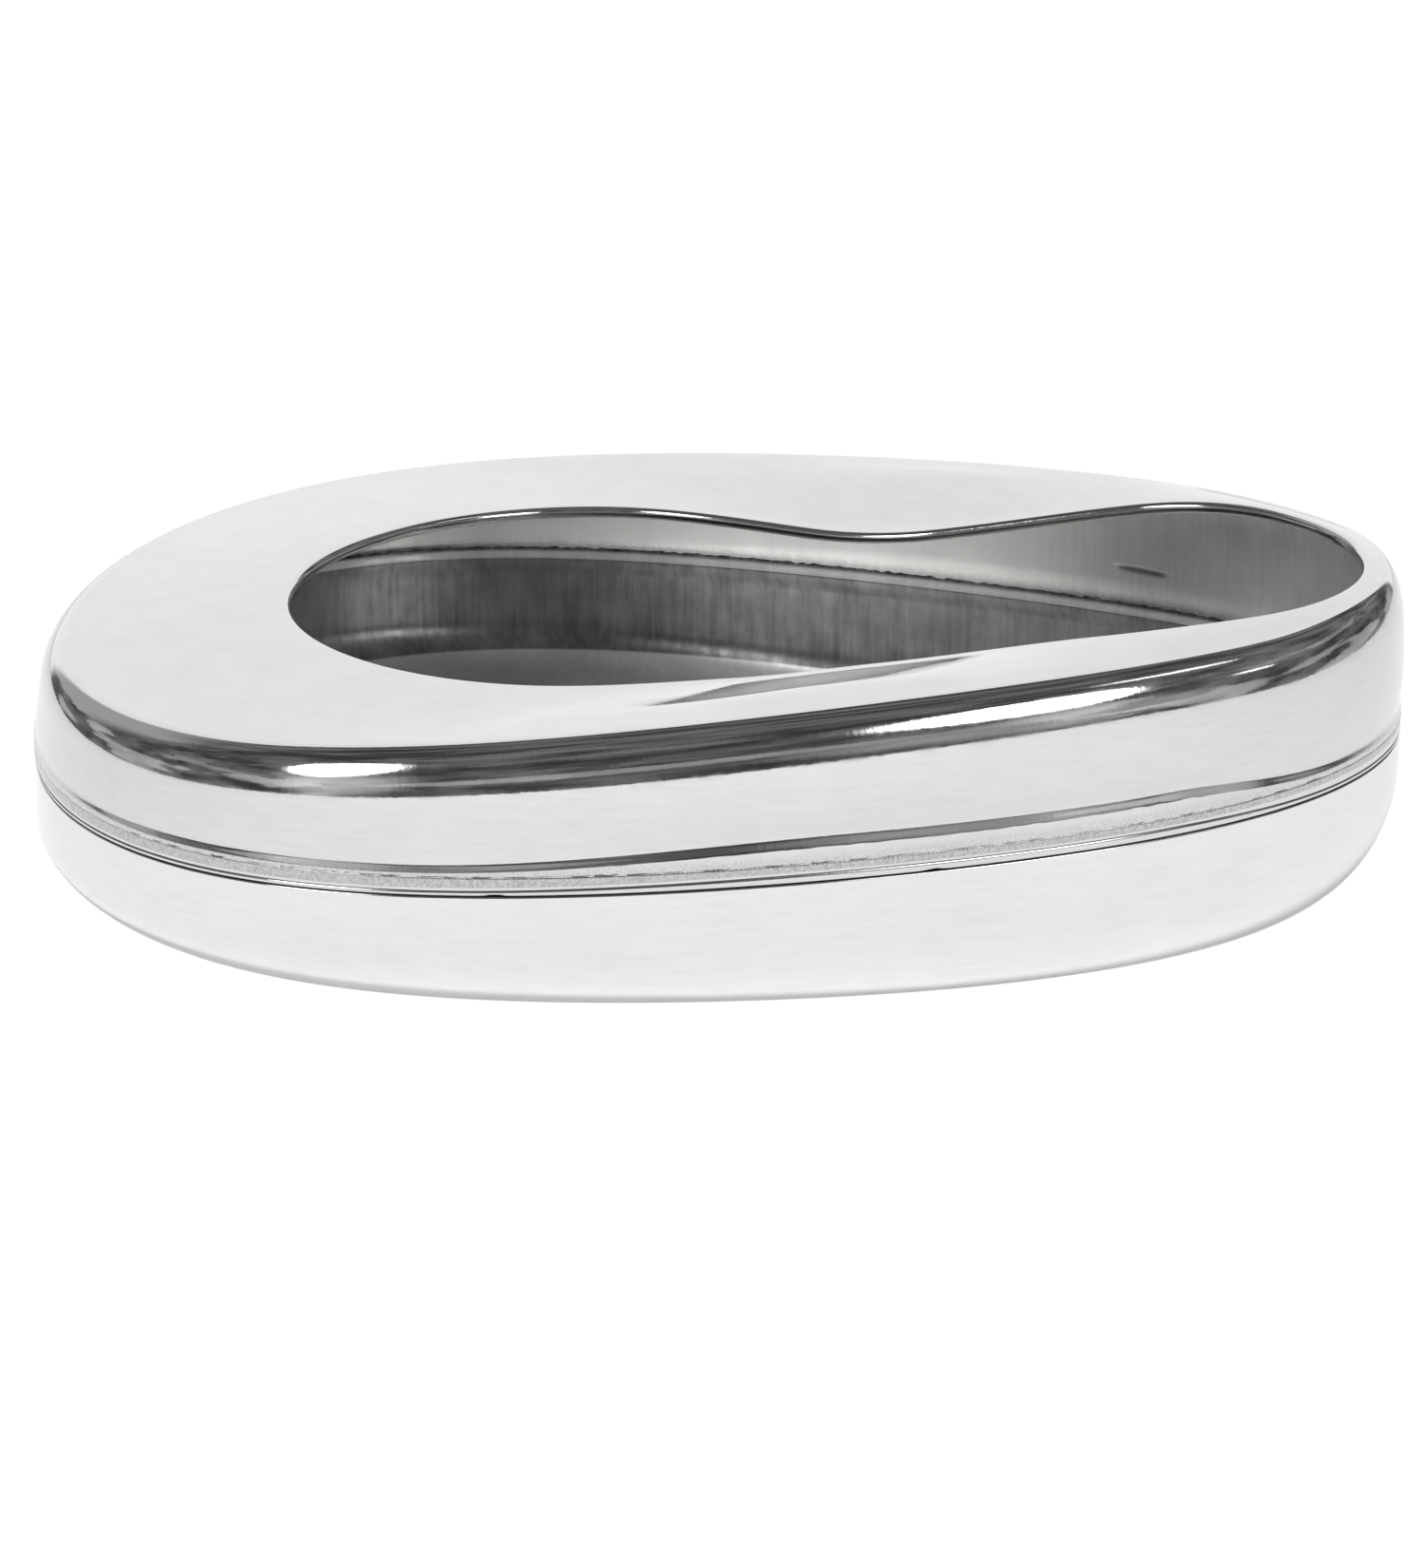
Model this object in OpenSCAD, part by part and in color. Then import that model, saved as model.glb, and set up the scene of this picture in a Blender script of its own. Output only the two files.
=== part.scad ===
// Bedpan of polished stainless sheet: a drawn lower pan and a drawn upper shell,
// lapped at the waist and joined by a continuous seam weld.
// +X points to the high, narrow front, -X to the low, wide seat, and +Z up.
// The origin is on the floor, under the middle of the overall length.

/* [Plan outline] */
// Length of the outline, which is the overall length to within a millimetre
pan_l = 355; // [330:1:380]
// Half width at the middle of the length
half_w = 136.8; // [128:0.1:145]
// How much narrower the front is than the middle
taper = 42.3; // [30:0.1:50]
// Fullness of both ends
swell = 23; // [10:0.5:30]
// Extra fullness of the front
skew = 6.3; // [0:0.1:10]

/* [Heights] */
// Height of the seam's lower edge at the middle
seam_h = 32.8; // [28:0.1:36]
// Rise of the seam per millimetre towards the front
seam_rise = 0.015; // [0:0.001:0.03]
// Upward curve of the seam towards both ends
seam_curve = 0.0001; // [0:0.00001:0.0002]
// Height of the shoulder at the rear
rear_h = 62.6; // [58:0.1:68]
// How much higher the shoulder is at the front
front_rise = 17.8; // [12:0.1:24]
// Extra height of the shoulder at the very front
nose_lift = 1.2; // [0:0.1:1.5]

/* [Lower pan] */
// Sheet thickness of both pressings
sheet = 1.0; // [0.8:0.1:1.2]
// Clearance between the lapped sheets, filled by the weld
lap_gap = 0.3; // [0.2:0.05:0.4]
// Height of the lap above the seam's lower edge
lap_h = 5.7; // [4:0.1:6]
// Setback of the lower pan's wall behind the skirt's face
pan_set = 0.1; // [0:0.1:1]
// Height of the joggle that steps the pan's wall in behind the skirt
joggle_h = 1.4; // [1.2:0.1:3]

/* [Upper shell] */
// Setback of the skirt from the outline
skirt_in = 0.3; // [0:0.1:2]
// Height of the straight skirt
skirt_h = 5.6; // [4.8:0.1:7]
// Height of the sloping flank above the skirt
flank_h = 2.1; // [1.5:0.1:3]
// Depth of the groove above the flank, below the skirt's face
groove = 0.6; // [0.3:0.1:1]
// Outward slope of the wall where it leaves the groove
wall_flare = 0.15; // [0:0.01:0.4]

/* [Mouth] */
// Half width of the round seat opening
seat_w = 82; // [70:0.5:85]
// Distance of the seat opening's widest place behind the origin
seat_back = 37; // [25:1:45]
// Length of the opening behind that place
seat_l = 75; // [65:0.5:80]
// Half width of the front part of the opening
front_w = 60.5; // [50:0.5:62]
// Where the seat part has narrowed to the front part's width
waist_x = 50; // [40:1:70]
// Where the front end begins to round off
front_x = 103; // [90:1:115]
// Length of the rounded front end
front_l = 63; // [50:0.5:65]
// Height of the opening's edge over the seat
mouth_h = 67.1; // [62:0.1:72]
// How much higher the edge is at the front
mouth_rise = 15.2; // [10:0.1:20]
// Radius of the turned-down lip
lip_r = 1.6; // [1.4:0.1:2.5]
// Overall depth of the turned-down lip
lip_h = 3; // [2.5:0.1:5]
// Height of the flange's bulge beside the opening's waist
bulge = 1.2; // [0:0.1:2]

/* [Hidden] */
STEPS = 72;                              // stations round the outline
BASE_REACH = [23.9, -14, 7.4, 3.4];      // harmonics of the base rounding's horizontal reach
BASE_HEIGHT = [18.9, 4.7, 5.7, 1.9];     // harmonics of the base rounding's height
SHOULDER_LEAN = [-1.2, 1.0, 0, 0];       // harmonics of the shoulder's offset from the outline
SHOULDER_REACH = [7.8, -1.2, 0, 0];      // harmonics of the shoulder rounding's horizontal reach
SHOULDER_HEIGHT = [14.2, 1.4, 0, 0];     // harmonics of the shoulder rounding's height
SHOULDER_START = 10;                     // angle round its rounding where the shoulder leaves the wall
RAMP_X = [13, 140];                      // the opening's edge climbs between these
FOLD = 0.35;                             // share of the flange that stays level before it dips to the lip
FLAT = 0.935;                            // share past which it is level again, up to the lip
FOLD_DIP = 1.5;                          // the flange is folded so where it dips by this or more
BULGE_X = [60, 45];                      // the bulge's middle, and how far it reaches each way
FACING = 0.5;                            // depth cut off under the base to face it flat
WELD_Z = [1.3, 4.1];                     // the weld's span above the seam's lower edge
rear_tip = -seat_back - seat_l;
front_tip = front_x + front_l;
pan_out = skirt_in + pan_set;
pan_in = skirt_in + sheet + lap_gap;

// Smooth step from 0 to 1
function ramp(u) = let (k = min(1, max(0, u))) k * k * (3 - 2 * k);
function mix(a, b, k) = a + (b - a) * k;
// Smooth curve over a span h from p with slope m to q with slope n
function bend(p, m, q, n, h, u) =
    mix(p, q, u * u * (3 - 2 * u)) + h * u * (1 - u) * (m * (1 - u) - n * u);
function reversed(list) = [for (i = [len(list) - 1:-1:0]) list[i]];
// Sum of the first harmonics round the outline
function wave(h, t) = h[0] + h[1] * cos(t) + h[2] * cos(2 * t) + h[3] * cos(3 * t);
// Half an ellipse: height over x of one that reaches a each side of its centre
function arch(x, a, b) = b * sqrt(max(0, 1 - pow(x / a, 2)));

// Egg-shaped line round the pan at its widest, at angle t from the front
function outline(t) =
    let (c = cos(t))
    [pan_l / 2 * c, sin(t) * (half_w - taper * c + swell * c * c + skew * c * c * c)];
function side(a, b) = let (d = (b - a) / norm(b - a)) [d.y, -d.x];
function outward(t) = side(outline(t - 0.5), outline(t + 0.5));
function beside(t, off, z) = let (p = outline(t) + off * outward(t)) [p.x, p.y, z];
function seam_z(t) = let (x = outline(t).x) seam_h + seam_rise * x + seam_curve * x * x;
function nose(t) = ramp((cos(t) - 0.85) / 0.15);
function shoulder_z(t) = rear_h + front_rise * ramp((1 + cos(t)) / 2) + nose_lift * nose(t);

// Pear-shaped edge of the opening: the round seat part narrows to the front part
function mouth_half(x) =
    x < -seat_back ? arch(x + seat_back, seat_l, seat_w)
    : x < front_x ? mix(seat_w, front_w, ramp((x + seat_back) / (waist_x + seat_back)))
    : arch(x - front_x, front_l, front_w);
function mouth(t) =
    let (x = mix(rear_tip, front_tip, (1 + cos(t)) / 2))
    [x, sign(sin(t)) * mouth_half(x)];
function mouth_z(t) =
    mouth_h + mouth_rise * ramp((mouth(t).x - RAMP_X[0]) / (RAMP_X[1] - RAMP_X[0]));

// Outer face of the lower pan at angle t, from the base's edge up to the lap's top edge
function pan_profile(t) =
    let (reach = wave(BASE_REACH, t), rise = wave(BASE_HEIGHT, t), z = seam_z(t))
    concat(
        [for (a = [90:-15:0]) beside(t, -pan_out - reach * (1 - cos(a)), rise * (1 - sin(a)))],
        [beside(t, -pan_out, z - joggle_h), beside(t, -pan_in, z), beside(t, -pan_in, z + lap_h)]
    );

// Height of the flange at angle t, a share k of the way from the shoulder to the lip
function flange_z(t, k) =
    let (
        top = shoulder_z(t),
        end = mouth_z(t),
        swelling = bulge * ramp(1 - abs(mouth(t).x - BULGE_X[0]) / BULGE_X[1]),
        dip = max(0, (min(k, FLAT) - FOLD) / (FLAT - FOLD))
    )
    mix(top, end, mix(1 - pow(1 - k, 1.5), dip, ramp((top - end) / FOLD_DIP)))
        + swelling * ramp(k / FOLD) * (1 - dip);

// Outer face of the upper shell at angle t, from the skirt's edge up and over to the lip
function shell_profile(t) =
    let (
        z = seam_z(t),
        top = shoulder_z(t),
        flank_top = z + skirt_h + flank_h,
        lean = wave(SHOULDER_LEAN, t),
        reach = wave(SHOULDER_REACH, t),
        drop = wave(SHOULDER_HEIGHT, t) + 1.2 * nose_lift * nose(t),
        start_off = lean - reach * (1 - cos(SHOULDER_START)),
        wall_h = top - drop * (1 - sin(SHOULDER_START)) - flank_top,
        lean_in = -reach / drop * tan(SHOULDER_START),
        edge = beside(t, lean - reach, top),
        inward = -side(mouth(t - 0.5), mouth(t + 0.5)),
        lip_top = mouth_z(t),
        rim = mouth(t) - lip_r * inward,
        groove_in = skirt_in + groove
    )
    concat(
        [beside(t, -skirt_in, z), beside(t, -skirt_in, z + skirt_h)],
        [for (k = [0:0.25:1])
            beside(t, bend(-groove_in, wall_flare, start_off, lean_in, wall_h, k), flank_top + wall_h * k)],
        [for (a = [25:13:90])
            beside(t, lean - reach * (1 - cos(a)), top - drop * (1 - sin(a)))],
        [for (k = [0.18, FOLD, 0.65, FLAT])
            [mix(edge.x, rim.x, k), mix(edge.y, rim.y, k), flange_z(t, k)]],
        [for (a = [0:22.5:90])
            let (p = rim + lip_r * sin(a) * inward) [p.x, p.y, lip_top - lip_r * (1 - cos(a))]],
        [let (p = mouth(t)) [p.x, p.y, lip_top - lip_h]]
    );

// The same surface one sheet thickness further in
function inner_face(grid) =
    let (n = len(grid), m = len(grid[0]))
    [for (i = [0:n - 1]) [for (j = [0:m - 1])
        let (
            round = grid[(i + 1) % n][j] - grid[(i + n - 1) % n][j],
            up = grid[i][min(j + 1, m - 1)] - grid[i][max(j - 1, 0)],
            normal = cross(round, up)
        )
        grid[i][j] - sheet * normal / norm(normal)]];

// Faces between neighbouring loops of points, each loop closed on itself unless it is capped
function skin_faces(n, m, capped) =
    [for (i = [0:n - 1], k = [0:m - (capped ? 2 : 1)])
        let (j = (i + 1) % n, up = (k + 1) % m, a = i * m + k, b = i * m + up, c = j * m + up, d = j * m + k)
        each [[a, b, c], [a, c, d]]];

module skin(loops, capped = false) {
    n = len(loops);
    m = len(loops[0]);
    ends = capped ? [[for (i = [0:n - 1]) i * m], [for (i = [n - 1:-1:0]) i * m + m - 1]] : [];
    polyhedron([for (loop = loops) each loop], concat(skin_faces(n, m, capped), ends));
}

stations = [for (i = [0:STEPS - 1]) i * 360 / STEPS];
pan_outside = [for (t = stations) pan_profile(t)];
pan_inside = inner_face(pan_outside);
shell_outside = [for (t = stations) shell_profile(t)];
shell_inside = inner_face(shell_outside);

// Drawn pan, faced flat underneath
module lower_pan() {
    color("lightgray")
    difference() {
        skin([for (i = [0:STEPS - 1])
            concat([pan_outside[i][0] - [0, 0, FACING]], pan_outside[i], reversed(pan_inside[i]))],
            capped = true);
        translate([-pan_l, -pan_l, -pan_l]) cube([2 * pan_l, 2 * pan_l, pan_l]);
    }
}

// Drawn shell: skirt over the pan's edge, wall, shoulder, seat flange and turned-down lip
module upper_shell() {
    color("silver")
    skin([for (i = [0:STEPS - 1]) concat(shell_outside[i], reversed(shell_inside[i]))]);
}

// Weld metal between the lapped sheets, all the way round
module seam_weld() {
    top_row = len(pan_outside[0]) - 1;
    skirt_faces = [for (i = [0:STEPS - 1]) [shell_inside[i][0], shell_inside[i][1]]];
    lap_faces = [for (i = [0:STEPS - 1]) [pan_outside[i][top_row - 1], pan_outside[i][top_row]]];
    color("darkgray")
    skin([for (i = [0:STEPS - 1])
        let (z0 = pan_outside[i][top_row - 1].z, low = z0 + WELD_Z[0], high = z0 + WELD_Z[1])
        [level(skirt_faces[i], low), level(skirt_faces[i], high),
            level(lap_faces[i], high), level(lap_faces[i], low)]]);
}

// Point at height z on a straight line between two points
function level(line, z) = mix(line[0], line[1], (z - line[0].z) / (line[1].z - line[0].z));

lower_pan();
upper_shell();
seam_weld();
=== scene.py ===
# Looks of a stainless bedpan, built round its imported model: metres, +Z up, +X to the narrow front.
import math

import bpy
import numpy as np
from mathutils import Matrix, Vector


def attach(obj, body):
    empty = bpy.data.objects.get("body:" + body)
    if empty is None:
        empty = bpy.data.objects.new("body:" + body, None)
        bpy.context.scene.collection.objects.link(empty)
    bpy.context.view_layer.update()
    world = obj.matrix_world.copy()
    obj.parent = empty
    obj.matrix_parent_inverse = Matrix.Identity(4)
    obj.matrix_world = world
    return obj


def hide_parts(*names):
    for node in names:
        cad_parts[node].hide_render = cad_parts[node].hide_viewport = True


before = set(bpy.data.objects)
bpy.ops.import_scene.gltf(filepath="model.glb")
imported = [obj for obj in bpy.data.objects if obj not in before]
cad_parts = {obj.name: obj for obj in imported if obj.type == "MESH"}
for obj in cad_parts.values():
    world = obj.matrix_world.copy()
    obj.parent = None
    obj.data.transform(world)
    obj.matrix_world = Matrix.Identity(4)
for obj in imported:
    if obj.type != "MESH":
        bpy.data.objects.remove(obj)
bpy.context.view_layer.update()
MM = 0.001

# ---------------------------------------------------------------- the part's own sizes, in mm
# The outline round the pan, and the seam's height along it
PAN_L, HALF_W, TAPER, SWELL, SKEW = 355.0, 136.8, 42.3, 23.0, 6.3
SEAM_H, SEAM_RISE, SEAM_CURVE = 32.8, 0.015, 0.0001
# The sheets: their thickness, cut edges, lap height, and how far in from the outline they stand
SHEET, LAP_H = 1.0, 5.7
EDGE_R = SHEET / 2
SKIRT_IN, PAN_OUT, PAN_IN = 0.3, 0.4, 1.6
# Harmonics round the outline: the base's rounding, then the shoulder's lean and rounding
BASE_REACH = (23.9, -14.0, 7.4, 3.4)
BASE_HEIGHT = (18.9, 4.7, 5.7, 1.9)
SHOULDER_LEAN = (-1.2, 1.0)
SHOULDER_REACH = (7.8, -1.2)
SHOULDER_HEIGHT = (14.2, 1.4)
SHOULDER_START = math.radians(10)
# The wall's slope at its foot, at the rear and further forward
REAR_FLARE, WALL_FLARE = -0.08, 0.15
# The shoulder's height at the rear, its rise to the front, and an extra lift at the very front
REAR_H, FRONT_RISE, FRONT_LIFT = 62.6, 17.8, 1.2
FRONT_DROP = 1.2 * FRONT_LIFT   # how much taller the shoulder's rounding is there
# The pear-shaped opening, the height of its edge, and the x between which the edge climbs
SEAT_W, SEAT_BACK, SEAT_L = 82.0, 37.0, 75.0
FRONT_W, WAIST_X, FRONT_X, FRONT_L = 60.5, 50.0, 103.0, 63.0
MOUTH_H, MOUTH_RISE, RAMP_X = 67.1, 15.2, (13.0, 140.0)
LIP_R, LIP_H = 1.6, 3.0
# The flange: level up to FOLD of its width, then falling to the lip, and level again past FLAT.
# It folds so where it falls by FOLD_DIP or more; BULGE raises it round x = BULGE_X[0]
FOLD, FLAT, FOLD_DIP = 0.35, 0.935, 1.5
BULGE, BULGE_X = 1.2, (60.0, 45.0)

STATIONS = 612          # round the pan, about 1.7 mm apart


def ramp(u):
    """Smooth step from 0 to 1."""
    k = np.clip(u, 0, 1)
    return k * k * (3 - 2 * k)


def mix(a, b, k):
    return a + (b - a) * k


def across(x, lo, hi):
    """Smooth step from 0 to 1 as x goes from lo to hi."""
    return ramp((x - lo) / (hi - lo))


def bend(p, m, q, n, h, u):
    """Smooth curve over a span h from p with slope m to q with slope n."""
    return mix(p, q, u * u * (3 - 2 * u)) + h * u * (1 - u) * (m * (1 - u) - n * u)


def wave(h, t):
    """Sum of the first harmonics round the outline."""
    return sum(a * np.cos(i * t) for i, a in enumerate(h))


def wobble(t, seed, pitch, amount):
    """Even random waviness round the pan, with waves about pitch mm long."""
    rng = np.random.default_rng(seed)
    k0 = 1000 / pitch
    waves = np.unique(np.round(rng.uniform(0.5, 1.6, 40) * k0))
    phase = rng.uniform(0, 2 * np.pi, len(waves))
    return amount * sum(np.cos(k * t + p) for k, p in zip(waves, phase)) / math.sqrt(len(waves) / 2)


def outline(t):
    c = np.cos(t)
    return PAN_L / 2 * c, np.sin(t) * (HALF_W - TAPER * c + SWELL * c * c + SKEW * c ** 3)


def outward(t):
    """Level direction out of the pan, square to its outline."""
    e = 0.005
    (xa, ya), (xb, yb) = outline(t - e), outline(t + e)
    dx, dy = xb - xa, yb - ya
    n = np.hypot(dx, dy)
    return dy / n, -dx / n


def beside(t, off, z):
    """Points at height z, off outward from the outline."""
    x, y = outline(t)
    nx, ny = outward(t)
    return np.stack([x + off * nx, y + off * ny, z + 0 * t], -1)


def seam_z(t):
    x = outline(t)[0]
    return SEAM_H + SEAM_RISE * x + SEAM_CURVE * x * x


def nose(t):
    """1 at the front end, 0 away from it."""
    return ramp((np.cos(t) - 0.85) / 0.15)


def shoulder_z(t):
    return REAR_H + FRONT_RISE * ramp((1 + np.cos(t)) / 2) + FRONT_LIFT * nose(t)


def arch(x, a, b):
    """Half an ellipse: height over x of one that reaches a each side of its centre."""
    return b * np.sqrt(np.clip(1 - (x / a) ** 2, 0, None))


def mouth(t):
    rear, front = -SEAT_BACK - SEAT_L, FRONT_X + FRONT_L
    x = mix(rear, front, (1 + np.cos(t)) / 2)
    neck = mix(SEAT_W, FRONT_W, ramp((x + SEAT_BACK) / (WAIST_X + SEAT_BACK)))
    half = np.where(x < -SEAT_BACK, arch(x + SEAT_BACK, SEAT_L, SEAT_W),
                    np.where(x < FRONT_X, neck, arch(x - FRONT_X, FRONT_L, FRONT_W)))
    return x, np.sign(np.sin(t)) * half


def mouth_in(t):
    """Level direction into the opening, square to its edge."""
    e = 0.005
    (xa, ya), (xb, yb) = mouth(t - e), mouth(t + e)
    dx, dy = xb - xa, yb - ya
    n = np.hypot(dx, dy)
    return -dy / n, dx / n


def mouth_z(t):
    return MOUTH_H + MOUTH_RISE * across(mouth(t)[0], *RAMP_X)


# ---------------------------------------------------------------- meshes
def grid_faces(n, m, closed, first=0):
    """Quads between m loops of n points each; closed joins the last loop to the first."""
    i = np.arange(n)[:, None]
    k = np.arange(m if closed else m - 1)[None, :]
    j, up = (i + 1) % n, (k + 1) % m
    q = np.stack([k * n + i, k * n + j, up * n + j, up * n + i], -1)
    return (q.reshape(-1, 4) + first).tolist()


def loops_mesh(loops, closed):
    return np.concatenate(loops), grid_faces(len(loops[0]), len(loops), closed)


def signed_volume(verts, faces):
    total = 0.0
    for size in (3, 4):
        f = np.array([f for f in faces if len(f) == size], int)
        if len(f):
            for b, c in ((1, 2), (2, 3))[:size - 2]:
                total += np.einsum("ij,ij->", verts[f[:, 0]], np.cross(verts[f[:, b]], verts[f[:, c]]))
    return total


def piece(name, verts, faces, materials, index=None, marks=None):
    """A smooth-shaded mesh object from points in mm, its faces turned outward."""
    verts = np.asarray(verts, float)
    if signed_volume(verts, faces) < 0:
        faces = [f[::-1] for f in faces]
    mesh = bpy.data.meshes.new(name)
    mesh.from_pydata((verts * MM).tolist(), [], faces)
    for m in materials:
        mesh.materials.append(m)
    if index is not None:
        mesh.polygons.foreach_set("material_index", np.asarray(index, np.int32))
    mesh.polygons.foreach_set("use_smooth", np.ones(len(mesh.polygons), bool))
    for key, values in (marks or {}).items():
        layer = mesh.attributes.new(key, "FLOAT", "POINT")
        layer.data.foreach_set("value", np.asarray(values, np.float32))
    mesh.update()
    ob = bpy.data.objects.new(name, mesh)
    bpy.context.scene.collection.objects.link(ob)
    return ob


def offset_in(loops, d):
    """The same loops moved d along the surface's inward normal."""
    g = np.stack(loops)
    along = np.roll(g, -1, 1) - np.roll(g, 1, 1)
    up = np.empty_like(g)
    up[1:-1] = g[2:] - g[:-2]
    up[0], up[-1] = g[1] - g[0], g[-1] - g[-2]
    n = np.cross(along, up)
    n /= np.linalg.norm(n, axis=-1, keepdims=True)
    return list(g - d * n)


# ---------------------------------------------------------------- upper shell
t = np.arange(STATIONS) * 2 * np.pi / STATIONS
seam = seam_z(t)
top = shoulder_z(t)
x_out = outline(t)[0]
# The flank above the skirt is taller along the sides towards the front
forward = across(x_out, -60, 50)
tall = forward * (1 - across(x_out, 125, 165))
flank_lo = 5.6 + 2.7 * tall
flank_hi = 7.6 + 4.2 * tall
groove = 0.5 + 0.1 * tall
flare = mix(REAR_FLARE, WALL_FLARE, forward)
line_z = 1.1 + 0.9 * tall
lean = wave(SHOULDER_LEAN, t)
reach = wave(SHOULDER_REACH, t)
drop = wave(SHOULDER_HEIGHT, t) + FRONT_DROP * nose(t)
start_off = lean - reach * (1 - math.cos(SHOULDER_START))
lean_in = -reach / drop * math.tan(SHOULDER_START)
wall_lo = seam + flank_hi
wall_h = top - drop * (1 - math.sin(SHOULDER_START)) - wall_lo
mx, my = mouth(t)
ix, iy = mouth_in(t)
lip_top = mouth_z(t)
folded = ramp((top - lip_top) / FOLD_DIP)
bulge = BULGE * ramp(1 - np.abs(mx - BULGE_X[0]) / BULGE_X[1])
rim_x, rim_y = mx - LIP_R * ix, my - LIP_R * iy


def seam_row(off, h):
    return beside(t, off, seam + h)


def wall_row(u):
    return beside(t, bend(-SKIRT_IN - groove, flare, start_off, lean_in, wall_h, u), wall_lo + wall_h * u)


def shoulder_row(a):
    return beside(t, lean - reach * (1 - np.cos(a)), top - drop * (1 - np.sin(a)))


def flange_row(k):
    ex, ey, _ = shoulder_row(np.pi / 2).T
    dip = max(0, (min(k, FLAT) - FOLD) / (FLAT - FOLD))
    fall = mix(1 - (1 - k) ** 1.5, dip, folded)
    z = mix(top, lip_top, fall) + bulge * ramp(k / FOLD) * (1 - dip)
    return np.stack([mix(ex, rim_x, k), mix(ey, rim_y, k), z], -1)


def lip_row(a):
    inward = LIP_R * np.sin(a)
    return np.stack([rim_x + inward * ix, rim_y + inward * iy, lip_top - LIP_R * (1 - np.cos(a))], -1)


def lip_drop(d):
    return np.stack([mx, my, lip_top - d], -1)


def cut_edge_row(a):
    """The lip's cut edge, rounded."""
    inset = EDGE_R - EDGE_R * math.cos(a)
    z = lip_top - LIP_H + EDGE_R - EDGE_R * math.sin(a)
    return np.stack([mx - inset * ix, my - inset * iy, z], -1)


# The outside, from the skirt's edge up, as rows of points that each go all the way round.
# Two small nicks in the skirt's near edge: x, half width and strength
NICKS = ((-34, 1.3, 1.0), (69, 1.6, 0.8))
near = np.sin(t) < 0
nick = near * sum(deep * np.exp(-((x_out - x) / wide) ** 2) for x, wide, deep in NICKS)
edge = [seam_row(-SKIRT_IN - EDGE_R + EDGE_R * math.cos(a) - 0.2 * nick,
                 EDGE_R + EDGE_R * math.sin(a) + 0.3 * nick)
        for a in np.radians(np.arange(195, 346, 30))]
# A thin pressed line a little above the edge
line = [seam_row(-0.28, 0.42 + 0.1 * line_z), seam_row(-0.26, 0.65 * line_z), seam_row(-0.28, 0.92 * line_z),
        seam_row(-0.42, line_z), seam_row(-0.46, line_z + 0.12), seam_row(-0.42, line_z + 0.22),
        seam_row(-0.33, line_z + 0.3)]
# The skirt, the ragged crease at its top, the flank and its groove
ragged = wobble(t, 3, 4, 0.10) + wobble(t, 4, 2.9, 0.05)
outer = edge + line
outer += [seam_row(-0.33, mix(line_z + 0.5, 4.9, k)) for k in (0, 0.25, 0.5, 0.75, 1)]
outer += [seam_row(-0.37, 5.02 + ragged), seam_row(-0.35, 5.17 + ragged),
          seam_row(-0.29, 5.34 + 0.5 * ragged)]
outer += [seam_row(-0.29 + 0.25 * ragged * tall, mix(5.5, flank_lo, k)) for k in (0, 0.33, 0.66, 1)]
outer += [seam_row(-SKIRT_IN - groove * ramp(k * 0.86 + 0.07), mix(flank_lo, flank_hi, k))
          for k in (0.15, 0.3, 0.45, 0.6, 0.75, 0.88)]
# The wall, the shoulder, the flange and the lip
outer += [wall_row(u) for u in np.linspace(0, 1, 18)]
outer += [shoulder_row(a) for a in np.linspace(SHOULDER_START, np.pi / 2, 22)[1:]]
outer += [flange_row(k) for k in (1 - (1 - np.linspace(0, 1, 17)) ** 1.4)[1:-1]]
outer += [lip_row(a) for a in np.linspace(0, np.pi / 2, 10)]
outer += [lip_drop(mix(LIP_R, LIP_H - EDGE_R, 0.5)), lip_drop(LIP_H - EDGE_R)]
lip_edge = [cut_edge_row(a) for a in np.radians((30, 60, 90, 120, 150))]

# The inside: the same surface without its fine detail, one sheet thickness in
clean = [seam_row(-SKIRT_IN, h) for h in (EDGE_R, 2.5, 4.5)]
clean += [seam_row(-SKIRT_IN - groove * ramp(k), mix(5.4, flank_hi, k)) for k in (0, 0.25, 0.5, 0.75)]
clean += [wall_row(u) for u in sorted([*np.linspace(0, 1, 10), *np.linspace(0.075, 0.255, 17)])]
clean += [shoulder_row(a) for a in np.linspace(SHOULDER_START, np.pi / 2, 11)[1:]]
clean += [flange_row(k) for k in np.linspace(0, 1, 9)[1:-1]]
clean += [lip_row(a) for a in np.linspace(0, np.pi / 2, 5)]
clean += [lip_drop(LIP_H - EDGE_R)]
inner = offset_in(clean, SHEET)
# A small bar pressed into the far wall from inside, near the front, with a low ridge over it
MARK_T, MARK_HALF_T = math.radians(54), math.radians(3.1)
MARK_Z, MARK_HALF_H, MARK_DEPTH, MARK_RIDGE = 50.35, 1.25, 0.55, 0.12
mark_shade = []
for row in inner:
    along = np.clip(1 - np.abs((t - MARK_T) / MARK_HALF_T) ** 5, 0, 1)
    height = (row[:, 2] - MARK_Z) / MARK_HALF_H
    press = MARK_DEPTH * ramp(1.9 * (1 - np.abs(height))) - MARK_RIDGE * np.exp(-((height - 1.3) / 0.3) ** 2)
    row[:, :2] += (along * press)[:, None] * np.stack(outward(t), -1)
    # mark_shade is painted shade over the bar's recess, darkest just above its middle
    mark_shade.append(along * np.exp(-((height - 0.1) / 0.85) ** 2))


# ---------------------------------------------------------------- materials
def bump_from(nodes, links, height, distance, normal=None):
    b = nodes.new("ShaderNodeBump")
    b.inputs["Strength"].default_value = 1
    b.inputs["Distance"].default_value = distance
    links.new(height, b.inputs["Height"])
    if normal:
        links.new(normal, b.inputs["Normal"])
    return b.outputs["Normal"]


STEEL_TINT = (1.0, 1.0, 0.985)


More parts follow.
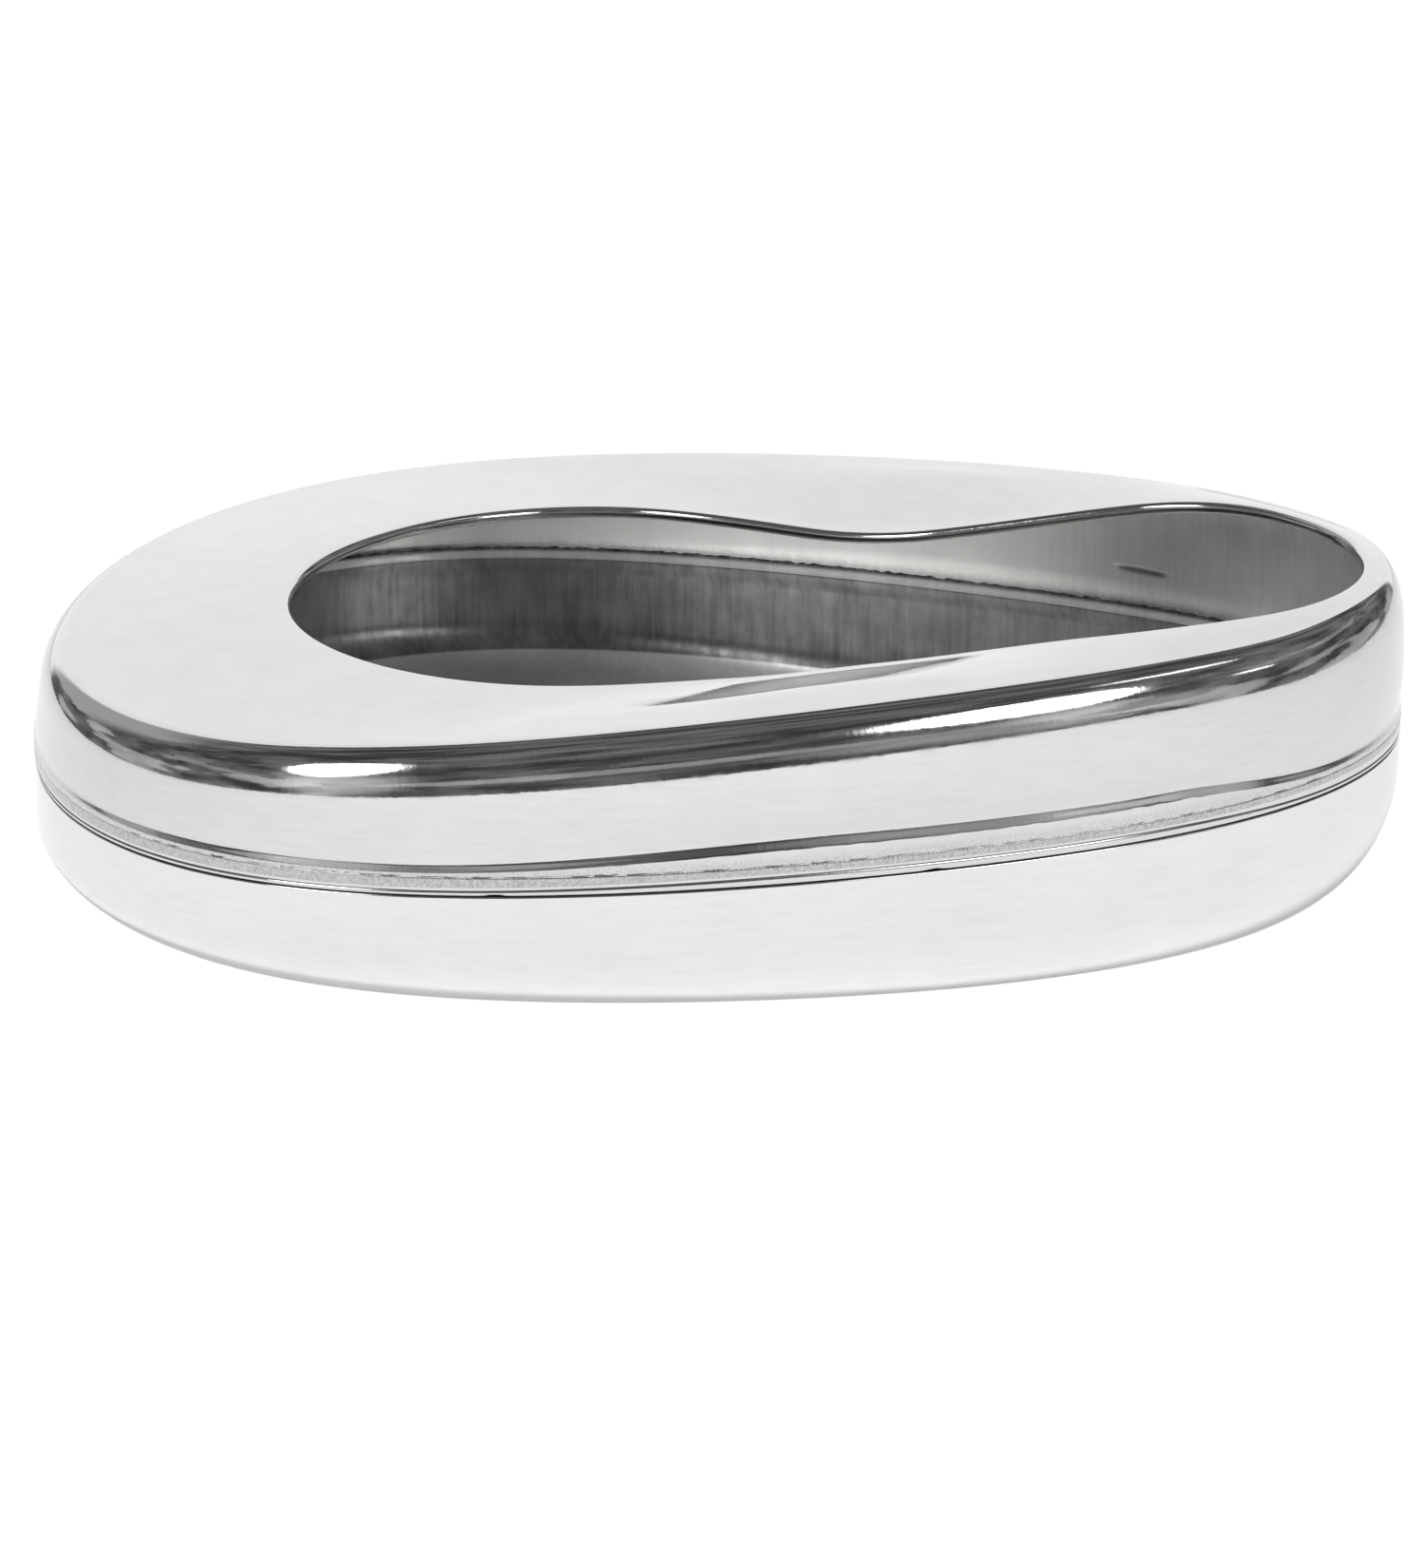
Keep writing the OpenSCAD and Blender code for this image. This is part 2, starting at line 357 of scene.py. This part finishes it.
class Shader:
    """Shorthands for building one node material."""

    def __init__(self, name):
        self.mat = bpy.data.materials.new(name)
        self.mat.use_nodes = True
        self.nodes, self.links = self.mat.node_tree.nodes, self.mat.node_tree.links
        self.main = self.nodes["Principled BSDF"]
        self.main.inputs["Metallic"].default_value = 1.0
        self.place = self.nodes.new("ShaderNodeTexCoord").outputs["Object"]

    def noise(self, scale, detail=2.0, rough=0.5, stretch=(1, 1, 1)):
        """Noise whose features are about scale mm across, drawn out by stretch along each axis."""
        m = self.nodes.new("ShaderNodeMapping")
        m.inputs["Scale"].default_value = [1 / (scale * MM * s) for s in stretch]
        self.links.new(self.place, m.inputs["Vector"])
        n = self.nodes.new("ShaderNodeTexNoise")
        n.inputs["Scale"].default_value = 1
        n.inputs["Detail"].default_value = detail
        n.inputs["Roughness"].default_value = rough
        self.links.new(m.outputs["Vector"], n.inputs["Vector"])
        return n.outputs["Fac"]

    def map(self, value, lo, hi, to_lo=0.0, to_hi=1.0):
        """Smooth step from to_lo to to_hi as value goes from lo to hi."""
        r = self.nodes.new("ShaderNodeMapRange")
        r.interpolation_type = "SMOOTHSTEP"
        for key, v in (("From Min", lo), ("From Max", hi), ("To Min", to_lo), ("To Max", to_hi)):
            r.inputs[key].default_value = v
        self.links.new(value, r.inputs["Value"])
        return r.outputs["Result"]

    def math(self, kind, a, b):
        n = self.nodes.new("ShaderNodeMath")
        n.operation = kind
        for socket, v in zip(n.inputs, (a, b)):
            if isinstance(v, (int, float)):
                socket.default_value = v
            else:
                self.links.new(v, socket)
        return n.outputs[0]

    def mark(self, key):
        """A value stored on the mesh's points."""
        n = self.nodes.new("ShaderNodeAttribute")
        n.attribute_name = key
        return n.outputs["Fac"]

    def grey(self, value):
        """Grey of this value, with the steel's faint tint."""
        n = self.nodes.new("ShaderNodeCombineColor")
        for socket, k in zip(n.inputs, STEEL_TINT):
            self.links.new(self.math("MULTIPLY", value, k), socket)
        return n.outputs["Color"]

    def finish(self, colour, rough, bumps):
        normal = None
        for height, distance in bumps:
            normal = bump_from(self.nodes, self.links, height, distance * MM, normal)
        self.links.new(colour, self.main.inputs["Base Color"])
        self.links.new(rough, self.main.inputs["Roughness"])
        self.links.new(normal, self.main.inputs["Normal"])
        return self.mat


def polished(name, level, seam_marks):
    """Mirror-bright steel, with faint clouds and wiping marks, and burnt specks over the weld."""
    s = Shader(name)
    cloud = s.map(s.noise(22, 3), 0.3, 0.7, -0.008, 0.008)
    wipe = s.map(s.noise(1.2, 4, 0.6, (9, 9, 1)), 0.3, 0.75, 0.0, -0.03)
    value = s.math("ADD", s.math("ADD", cloud, wipe), level)
    rough = s.math("ADD", s.map(s.noise(9, 4, 0.65), 0.3, 0.75, 0.04, 0.09), s.map(wipe, -0.03, 0, 0.04, 0))
    # Painted shade: the marked cut edges, creases and joggle are darker, and rougher too
    painted_shade = s.mark("painted_shade")
    value = s.math("MULTIPLY", value, s.map(painted_shade, 0, 1, 1, 0.2))
    rough = s.math("ADD", rough, s.map(painted_shade, 0, 1, 0, 0.25))
    if seam_marks:
        d = s.mark("seam_d")
        near = s.math("MULTIPLY", s.map(d, 4.2, 5.0), s.map(d, 8.6, 5.4))
        grit = s.map(s.noise(0.5, 3, 0.7), 0.35, 0.7)
        burnt = s.math("MULTIPLY", near, grit)
        value = s.math("SUBTRACT", value, s.math("MULTIPLY", burnt, 0.16))
        rough = s.math("ADD", rough, s.math("MULTIPLY", near, 0.12))
    bumps = [(s.noise(14, 1), 0.004), (s.noise(1.5, 1, 0.5, (1, 1, 1.6)), 0.012),
             (s.noise(0.35, 3, 0.6, (7, 7, 1)), 0.0010)]
    return s.finish(s.grey(value), rough, bumps)


def satin(name, level, bowl):
    """Dull drawn steel with upright streaks; the bowl's corner has painted shade, its floor painted light.
    """
    s = Shader(name)
    streak = s.map(s.noise(1.6, 3, 0.6, (1, 1, 16)), 0.3, 0.7, -0.035, 0.025)
    cloud = s.map(s.noise(14, 4, 0.6), 0.3, 0.72, -0.05, 0.04)
    rough = s.math("ADD", s.map(s.noise(5, 3, 0.6), 0.3, 0.7, 0.30, 0.40),
                   s.map(streak, -0.035, 0.025, 0.05, 0))
    split = s.nodes.new("ShaderNodeSeparateXYZ")
    s.links.new(s.place, split.inputs[0])
    # Painted shade: the steel darkens towards the front end
    base = s.map(split.outputs["X"], 0.05, 0.13, level, 0.7 * level)
    if bowl:
        z = split.outputs["Z"]
        # Painted shade darkens the bowl's lower corner, below about 12 to 19 mm, with a ragged top
        uneven = s.math("ADD", z, s.map(s.noise(2.5, 3, 0.6, (1, 1, 6)), 0.3, 0.7, -1.2 * MM, 1.2 * MM))
        base = s.map(uneven, 12 * MM, 19 * MM, 0.20, level)
        # Painted light brightens the floor below about 8 mm, more towards the front
        painted_floor_light = s.map(split.outputs["X"], -0.01, 0.05, 0.47, 0.8)
        base = s.math("ADD", base, s.math("MULTIPLY", s.map(z, 7.8 * MM, 8.5 * MM, 1, 0), painted_floor_light))
        # Painted highlight: a bright band on the lap's swelling inside
        rise = s.mark("seam_d")
        base = s.math("ADD", base, s.math("MULTIPLY", s.map(rise, 2.35, 2.6, 0, 0.5), s.map(rise, 5.2, 4.3)))
    value = s.math("MAXIMUM", s.math("ADD", s.math("ADD", streak, cloud), base), 0.04)
    d = s.mark("seam_d")
    near = s.math("MULTIPLY", s.map(d, 4.4, 5.8), s.map(d, 8.4, 6.6))
    burnt = s.math("MULTIPLY", near, s.map(s.noise(1.1, 4, 0.7), 0.2, 0.6))
    value = s.math("SUBTRACT", value, s.math("MULTIPLY", burnt, 0.2))
    # Painted shade where marked, chiefly the bar mark's recess
    value = s.math("MULTIPLY", value, s.map(s.mark("painted_shade"), 0, 1, 1, 0.3))
    s.main.inputs["Metallic"].default_value = 0.8 if bowl else 0.5
    bumps = [(s.noise(0.8, 1, 0.5, (1, 1, 14)), 0.0015), (s.noise(12, 1), 0.02)]
    return s.finish(s.grey(value), rough, bumps)


def welded(name):
    """Rippled weld metal."""
    s = Shader(name)
    value = s.map(s.noise(0.8, 3), 0.3, 0.7, 0.40, 0.56)
    rough = s.map(s.noise(0.9, 3), 0.3, 0.7, 0.16, 0.3)
    return s.finish(s.grey(value), rough, [(s.noise(0.3, 3), 0.004)])


shell_out = polished("shell_polished", 0.66, seam_marks=True)
shell_in = satin("shell_satin", 1.0, bowl=False)
pan_out = polished("pan_polished", 0.745, seam_marks=False)
pan_in = satin("pan_satin", 0.27, bowl=True)
weld_mat = welded("weld_steel")

# ---------------------------------------------------------------- upper shell's mesh
# The detailed outside and the plain inside are joined by the rounded cut edges
loops = outer + lip_edge + inner[::-1]
verts, faces = loops_mesh(loops, True)
outside = len(outer) + len(lip_edge)
row_of_face = np.tile(np.arange(len(loops)), STATIONS)
inside = (row_of_face >= outside - 1).astype(int)
# Painted shade darkens the cut edge, the pressed line and the bar mark's recess
painted_shade_rows = np.zeros(outside)
painted_shade_rows[:len(edge) - 1] = 0.8
painted_shade_rows[len(edge) + 3:len(edge) + 6] = 1
painted_shade = np.concatenate([np.repeat(painted_shade_rows, STATIONS)] + mark_shade[::-1])
shell = piece("shell", verts, faces, [shell_out, shell_in], inside,
              {"seam_d": np.concatenate([row[:, 2] - seam for row in loops]), "painted_shade": painted_shade})
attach(shell, "root")
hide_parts("upper_shell")

# ---------------------------------------------------------------- lower pan
base_reach, base_rise = wave(BASE_REACH, t), wave(BASE_HEIGHT, t)


def base_row(a):
    return beside(t, -PAN_OUT - base_reach * (1 - math.cos(a)), base_rise * (1 - math.sin(a)))


# The outside, from the base's edge up to the seam
wall_steps = [mix(base_rise, seam - 1.0, k) for k in (0.25, 0.5, 0.75, 1)]
pan_clean = [base_row(a) for a in np.radians(np.linspace(90, 0, 26))]
pan_clean += [beside(t, -PAN_OUT, z) for z in wall_steps]
# The joggle in behind the skirt, the lap's outside and its cut edge
joggle = [seam_row(-PAN_OUT, -0.62), seam_row(-0.45, -0.42), seam_row(-0.62, -0.24), seam_row(-0.95, -0.12),
          seam_row(-1.3, -0.02), seam_row(-1.53, 0.15), seam_row(-PAN_IN, 0.5), seam_row(-PAN_IN, 3),
          seam_row(-PAN_IN, 5)]
cut = wobble(t, 9, 5, 0.12) + wobble(t, 10, 2.9, 0.06)
lap = joggle + [beside(t, -PAN_IN - EDGE_R + EDGE_R * math.cos(a),
                       seam + LAP_H - EDGE_R + EDGE_R * math.sin(a) + cut)
                for a in np.radians((20, 55, 90, 125, 160))]
# The lap's inside, which swells and has a sharp line at its foot, and the joggle's inside
lap += [seam_row(-2.6, 4.8), seam_row(-2.62, 4.4), seam_row(-2.8, 3.8), seam_row(-3.0, 3.2),
        seam_row(-3.12, 2.8), seam_row(-3.1, 2.62), seam_row(-2.86, 2.5), seam_row(-2.8, 2.36),
        seam_row(-2.9, 2.2), seam_row(-2.86, 2.0)]
lap += [seam_row(mix(-2.84, -PAN_OUT - SHEET, ramp(k)), mix(1.9, -3.8, k))
        for k in np.linspace(0, 1, 9)[1:-1]]
pan_inner = [row for row in offset_in(pan_clean, SHEET)[::-1] if (row[:, 2] < seam - 3.9).all()]
# The base and the floor inside are rings that shrink to a point in the middle
RINGS = (0.08, 0.2, 0.35, 0.5, 0.65, 0.8, 0.9)
CROWN = 0.5             # the floor inside rises this much to its middle
base_rim, floor_rim = base_row(math.pi / 2), pan_inner[-1]
under = [base_rim * (f, f, 0) for f in RINGS]
floor_rings = [floor_rim * (f, f, 1) + (0, 0, CROWN * (1 - f * f)) for f in RINGS[::-1]]
loops = under + pan_clean + lap + pan_inner + floor_rings
verts, faces = loops_mesh(loops, False)
last = len(verts)
verts = np.vstack([verts, [(0, 0, 0), (0, 0, floor_rim[:, 2].mean() + CROWN)]])
ring0, ring1 = np.arange(STATIONS), np.arange(last - STATIONS, last)
faces += [[last, int(b), int(a)] for a, b in zip(ring0, np.roll(ring0, -1))]
faces += [[last + 1, int(a), int(b)] for a, b in zip(ring1, np.roll(ring1, -1))]
row_of_face = np.tile(np.arange(len(loops) - 1), STATIONS)
first_lap = len(under) + len(pan_clean)
inside = row_of_face >= first_lap + len(joggle) + 1
inside = np.concatenate([inside, np.zeros(STATIONS), np.ones(STATIONS)]).astype(int)
# Painted shade darkens the joggle, in the crevice behind the skirt's edge
painted_shade_rows = np.zeros(len(loops))
painted_shade_rows[first_lap + 2:first_lap + 8] = 1
painted_shade = np.append(np.repeat(painted_shade_rows, STATIONS), [0, 0])
MIDDLE_D = -40          # stands for the middle points' height over the seam
seam_d = np.concatenate([row[:, 2] - seam for row in loops] + [[MIDDLE_D, MIDDLE_D]])
pan = piece("pan", verts, faces, [pan_out, pan_in], inside, {"seam_d": seam_d, "painted_shade": painted_shade})
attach(pan, "root")
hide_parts("lower_pan")

# ---------------------------------------------------------------- weld track
# A row of weld beads that show more strongly towards the front
TRACK_STATIONS, BEAD = 4800, 1.1
tt = np.arange(TRACK_STATIONS) * 2 * np.pi / TRACK_STATIONS
tx, ty = outline(tt)
run = np.concatenate([[0], np.cumsum(np.hypot(np.diff(tx), np.diff(ty)))])
beads = round(float(run[-1]) / BEAD)
phase = run / (run[-1] * (1 + 1 / TRACK_STATIONS)) * 2 * np.pi * beads
along = across(tx, -60, 50)
bead = (0.5 + 0.5 * np.cos(phase)) * (0.25 + 0.75 * along) * (1 + wobble(tt, 21, 9, 0.35))
tz, t_low = seam_z(tt), 1.75 + 0.9 * along
# The section: offset from the outline, share of the track's height, and how far the beads stand out
TRACK = ((-0.36, 0.0, 0.0), (-0.30, 0.25, 0.015), (-0.28, 0.55, 0.03), (-0.28, 0.78, 0.07),
         (-0.30, 0.92, 0.05), (-0.37, 1.0, 0.0), (-0.7, 0.9, 0.0), (-0.7, 0.1, 0.0))
rows = [beside(tt, off + amount * bead, tz + mix(t_low, 4.7, k)) for off, k, amount in TRACK]
track = piece("weld_track", np.concatenate(rows), grid_faces(TRACK_STATIONS, len(rows), True), [weld_mat])
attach(track, "root")

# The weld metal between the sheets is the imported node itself
weld_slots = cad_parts["seam_weld"].data.materials
weld_slots.clear()
weld_slots.append(weld_mat)

# ---------------------------------------------------------------- studio
AZIMUTH, ELEVATION = math.radians(8.1), math.radians(18.23)
DISTANCE, LENS, SENSOR = 1.511, 132.7855, 36
AIM = Vector((0, 0, 0.0453))
SHIFT_RIGHT, SHIFT_UP = 0.0017, 0.02793
# Away from the camera along the table, back to the camera, and the picture's right and up
away = Vector((-math.sin(AZIMUTH), math.cos(AZIMUTH), 0))
back = Vector((0, 0, math.sin(ELEVATION))) - away * math.cos(ELEVATION)
right = Vector((math.cos(AZIMUTH), math.sin(AZIMUTH), 0))
up = back.cross(right)
camera = bpy.data.objects.new("camera", bpy.data.cameras.new("camera"))
bpy.context.scene.collection.objects.link(camera)
place = AIM + back * DISTANCE - right * SHIFT_RIGHT - up * SHIFT_UP
camera.matrix_world = Matrix.Translation(place) @ Matrix((right, up, back)).transposed().to_4x4()
camera.data.sensor_width = SENSOR
camera.data.lens = LENS
camera.data.clip_end = 50
bpy.context.scene.camera = camera
bpy.context.scene.view_settings.view_transform = "Standard"

# Floor: a white table that ends between the pan and the camera; it shows nothing from below
floor_mat = bpy.data.materials.new("floor_white")
floor_mat.use_nodes = True
fn, fl = floor_mat.node_tree.nodes, floor_mat.node_tree.links
fn.remove(fn["Principled BSDF"])
GLOW, GLOW_SEEN = 0.3, 0.65     # share of an even glow in the floor, and its extra share for the camera
matt, clear, glow = (fn.new("ShaderNode" + kind) for kind in ("BsdfDiffuse", "BsdfTransparent", "Emission"))
part, blend, pick = (fn.new("ShaderNode" + kind) for kind in ("Math", "MixShader", "MixShader"))
matt.inputs["Color"].default_value = (0.92, 0.92, 0.92, 1)
part.operation = "MULTIPLY_ADD"
part.inputs[1].default_value = GLOW_SEEN
part.inputs[2].default_value = GLOW
glow.inputs["Strength"].default_value = 1.06
fl.new(fn.new("ShaderNodeLightPath").outputs["Is Camera Ray"], part.inputs[0])
fl.new(part.outputs[0], blend.inputs[0])
fl.new(matt.outputs[0], blend.inputs[1])
fl.new(glow.outputs[0], blend.inputs[2])
fl.new(fn.new("ShaderNodeNewGeometry").outputs["Backfacing"], pick.inputs[0])
fl.new(blend.outputs[0], pick.inputs[1])
fl.new(clear.outputs[0], pick.inputs[2])
fl.new(pick.outputs[0], fn["Material Output"].inputs["Surface"])
NEAR_EDGE, FAR_EDGE, HALF_TABLE = -0.85, 2.0, 0.9
corners = [right * x + away * y for x, y in ((-HALF_TABLE, NEAR_EDGE), (HALF_TABLE, NEAR_EDGE),
                                             (HALF_TABLE, FAR_EDGE), (-HALF_TABLE, FAR_EDGE))]
floor_mesh = bpy.data.meshes.new("floor")
floor_mesh.from_pydata([c[:] for c in corners], [], [(0, 1, 2, 3)])
floor_mesh.materials.append(floor_mat)
floor = bpy.data.objects.new("floor", floor_mesh)
bpy.context.scene.collection.objects.link(floor)

# Room, as mirrored in the steel: a white sweep behind the pan, a dark room over it and in front, and lamps
world = bpy.data.worlds.new("studio")
bpy.context.scene.world = world
world.use_nodes = True
wn, wl = world.node_tree.nodes, world.node_tree.links


def wmath(kind, a, b=None):
    n = wn.new("ShaderNodeMath")
    n.operation = kind
    for socket, v in zip(n.inputs, (a, b)):
        if v is None:
            continue
        if isinstance(v, (int, float)):
            socket.default_value = v
        else:
            wl.new(v, socket)
    return n.outputs[0]


def times(a, b):
    return wmath("MULTIPLY", a, b)


def wstep(value, lo, hi, to_lo=0.0, to_hi=1.0):
    r = wn.new("ShaderNodeMapRange")
    r.interpolation_type = "SMOOTHSTEP"
    for key, v in (("From Min", lo), ("From Max", hi), ("To Min", to_lo), ("To Max", to_hi)):
        r.inputs[key].default_value = v
    wl.new(value, r.inputs["Value"])
    return r.outputs["Result"]


def wdot(direction):
    n = wn.new("ShaderNodeVectorMath")
    n.operation = "DOT_PRODUCT"
    wl.new(ray, n.inputs[0])
    n.inputs[1].default_value = direction
    return n.outputs["Value"]


ray = wn.new("ShaderNodeTexCoord").outputs["Generated"]
sideways, ahead, upward = wdot(right), wdot(away), wdot((0, 0, 1))
SWEEP = 1.08            # brightness of the white sweep


def wnoise(scale, detail, rough=0.5, flat=1):
    m = wn.new("ShaderNodeMapping")
    m.inputs["Scale"].default_value = (1, 1, flat)
    wl.new(ray, m.inputs["Vector"])
    n = wn.new("ShaderNodeTexNoise")
    n.inputs["Scale"].default_value = scale
    n.inputs["Detail"].default_value = detail
    n.inputs["Roughness"].default_value = rough
    wl.new(m.outputs["Vector"], n.inputs["Vector"])
    return n.outputs["Fac"]


# The white sweep, as high and wide as its paper
bearing = wmath("DIVIDE", sideways, wmath("MAXIMUM", ahead, 0.02))
white = times(times(wstep(upward, 0.80, 0.72), wstep(ahead, 0.0, 0.1)),
              times(wstep(bearing, 0.62, 0.54), wstep(bearing, -0.60, -0.50)))
# A grey wall to the left, over a dark skyline
skyline = wmath("ADD", times(wmath("ADD", sideways, 0.5), -0.55), times(wnoise(14, 3), 0.12))
wall = times(times(wstep(wmath("SUBTRACT", upward, skyline), 0.0, 0.03), wstep(upward, 0.9, 0.6)),
             times(wstep(sideways, -0.92, -0.70), wstep(sideways, -0.1, -0.3)))
wall = times(times(wall, wstep(ahead, 0.1, 0.3)), 0.46)
# Uneven dark surroundings, with clutter low down at both sides
clutter = times(wstep(wnoise(2.6, 2, 0.4, 3), 0.51, 0.55, 0, 0.36),
                times(wstep(wmath("ABSOLUTE", sideways), 0.5, 0.62), wstep(upward, 0.5, 0.2)))
room = wmath("ADD", wstep(wnoise(5, 6, 0.62), 0.36, 0.68, 0.05, 0.24), clutter)
room = wmath("MAXIMUM", times(room, wstep(wall, 0.3, 0.1)), wall)


def softbox(azimuth, elevation, half_w, half_h, power, turn, soft):
    """A glowing oval; azimuth in degrees from straight away from the camera, to the right."""
    a, e, r = math.radians(azimuth), math.radians(elevation), math.radians(turn)
    d = (away * math.cos(a) + right * math.sin(a)) * math.cos(e) + Vector((0, 0, math.sin(e)))
    side = (right * math.cos(a) - away * math.sin(a)).normalized()
    tip = side.cross(d)
    side, tip = side * math.cos(r) + tip * math.sin(r), tip * math.cos(r) - side * math.sin(r)
    front = wmath("MAXIMUM", wdot(d), 0.05)
    u = wmath("DIVIDE", wdot(side), times(front, half_w))
    v = wmath("DIVIDE", wdot(tip), times(front, half_h))
    lit = wstep(wmath("ADD", times(u, u), times(v, v)), 1, 1 - soft, 0, 1)
    return times(times(lit, wstep(wdot(d), 0.06, 0.1)), power)


light = wmath("ADD", times(white, SWEEP), times(wmath("SUBTRACT", 1, white), room))
# Two big lamps, two strips to the right, and three faint glows low down behind the camera
LAMPS = ((-140, 36, 0.20, 0.25, 5, 0, 0.4),
         (143, 27, 0.24, 0.20, 5, 0, 0.5),
         (114, 44, 0.21, 0.03, 3, 20, 0.5),
         (107, 16, 0.11, 0.02, 2, 10, 0.5),
         (-146, 12, 0.30, 0.30, 0.5, 0, 0.9),
         (180, 12, 0.6, 0.07, 0.3, 0, 0.6),
         (140, 6, 0.5, 0.16, 0.3, 0, 0.9))
for lamp in LAMPS:
    light = wmath("ADD", light, softbox(*lamp))
# The camera itself sees plain white behind the pan
seen = wn.new("ShaderNodeLightPath").outputs["Is Camera Ray"]
light = wmath("ADD", times(light, wmath("SUBTRACT", 1, seen)), seen)
wl.new(light, wn["Background"].inputs["Strength"])
wn["Background"].inputs["Color"].default_value = (1, 1, 1, 1)


def area_lamp(name, size, power, place, aim, spread=180):
    """A square lamp that lights dull surfaces only: polished steel doesn't mirror it."""
    lamp = bpy.data.lights.new(name, "AREA")
    lamp.size, lamp.energy, lamp.spread = size, power, math.radians(spread)
    ob = bpy.data.objects.new(name, lamp)
    ob.location = place
    ob.rotation_euler = (aim - place).to_track_quat("-Z", "Y").to_euler()
    ob.visible_glossy = False
    bpy.context.scene.collection.objects.link(ob)
    return ob


# One lights the table and the dull inside, the other the inside of the far wall through the opening
area_lamp("overhead", 0.7, 33.3, Vector((0, 0, 1.75)) - away * 0.95, Vector((0, 0, 0)))
over_pan, far_wall = Vector((0, -0.02, 0.085)), Vector((0.005, 0.13, 0.066))
reflector = area_lamp("reflector", 0.05, 0.042, over_pan, far_wall, spread=70)
reflector.visible_camera = False
